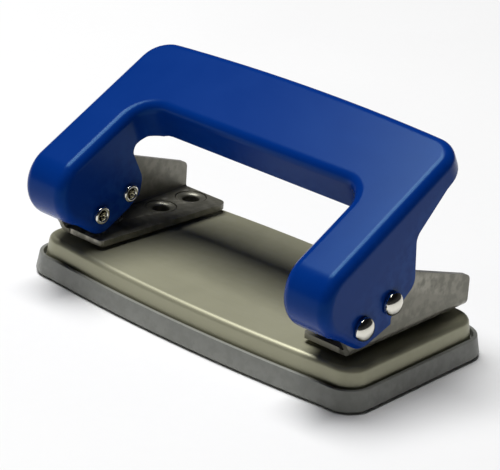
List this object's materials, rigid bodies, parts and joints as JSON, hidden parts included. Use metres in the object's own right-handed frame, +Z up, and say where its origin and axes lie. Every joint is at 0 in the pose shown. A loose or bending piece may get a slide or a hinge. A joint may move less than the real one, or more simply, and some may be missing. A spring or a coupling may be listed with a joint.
{
  "type": "hole punch",
  "caption": "Desk paper punch: a sprung U-shaped steel lever drives two punches through a paper slot in side brackets on a steel base with a snap-off chip tray.",
  "frame": {"origin": "middle of the bounding box, on the table", "axes": "+X along the long side, +Y away from the side where the paper goes in, +Z up"},
  "size_m": [0.1024, 0.0572, 0.0525],
  "materials": {
    "enamel": "satin royal blue stove enamel",
    "base_steel": "satin, plated, slightly warm",
    "bracket_steel": "satin, plated",
    "rivet_nickel": "bright nickel plate",
    "tool_steel": "ground",
    "tray_plastic": "fine grain, cool grey"
  },
  "bodies": {
    "tray": {"chip_tray": "tray_plastic"},
    "frame": {"base_plate": "base_steel", "left_bracket": "bracket_steel", "right_bracket": "bracket_steel", "left_front_rivet": "bracket_steel", "left_rear_rivet": "bracket_steel", "right_front_rivet": "bracket_steel", "right_rear_rivet": "bracket_steel", "left_spring": "tool_steel", "right_spring": "tool_steel"},
    "lever": {"handle": "enamel", "left_pivot_rivet": "rivet_nickel", "left_drive_rivet": "rivet_nickel", "right_pivot_rivet": "rivet_nickel", "right_drive_rivet": "rivet_nickel"},
    "left_cutter": {"left_punch": "tool_steel"},
    "right_cutter": {"right_punch": "tool_steel"}
  },
  "joints": [
    {"name": "tray_release", "type": "slide", "parent": "tray", "child": "frame", "axis": [0, 0, 1], "range_m": [0, 0.03]},
    {"name": "lever_hinge", "type": "hinge", "parent": "frame", "child": "lever", "pos_m": [0, -0.01579, 0.0179], "axis": [-1, 0, 0], "range_deg": [0, 30], "stiffness_Nm_per_rad": 0.08, "springref_deg": -20.05},
    {"name": "left_punch_slide", "type": "slide", "parent": "frame", "child": "left_cutter", "axis": [0, 0, -1], "range_m": [0, 0.0052], "deforming": ["left_spring"]},
    {"name": "right_punch_slide", "type": "slide", "parent": "frame", "child": "right_cutter", "axis": [0, 0, -1], "range_m": [0, 0.0052], "deforming": ["right_spring"]}
  ],
  "couplings": [
    {"joint": "left_punch_slide", "follows": "lever_hinge", "m_per_rad": 0.009604},
    {"joint": "right_punch_slide", "follows": "lever_hinge", "m_per_rad": 0.009604}
  ]
}
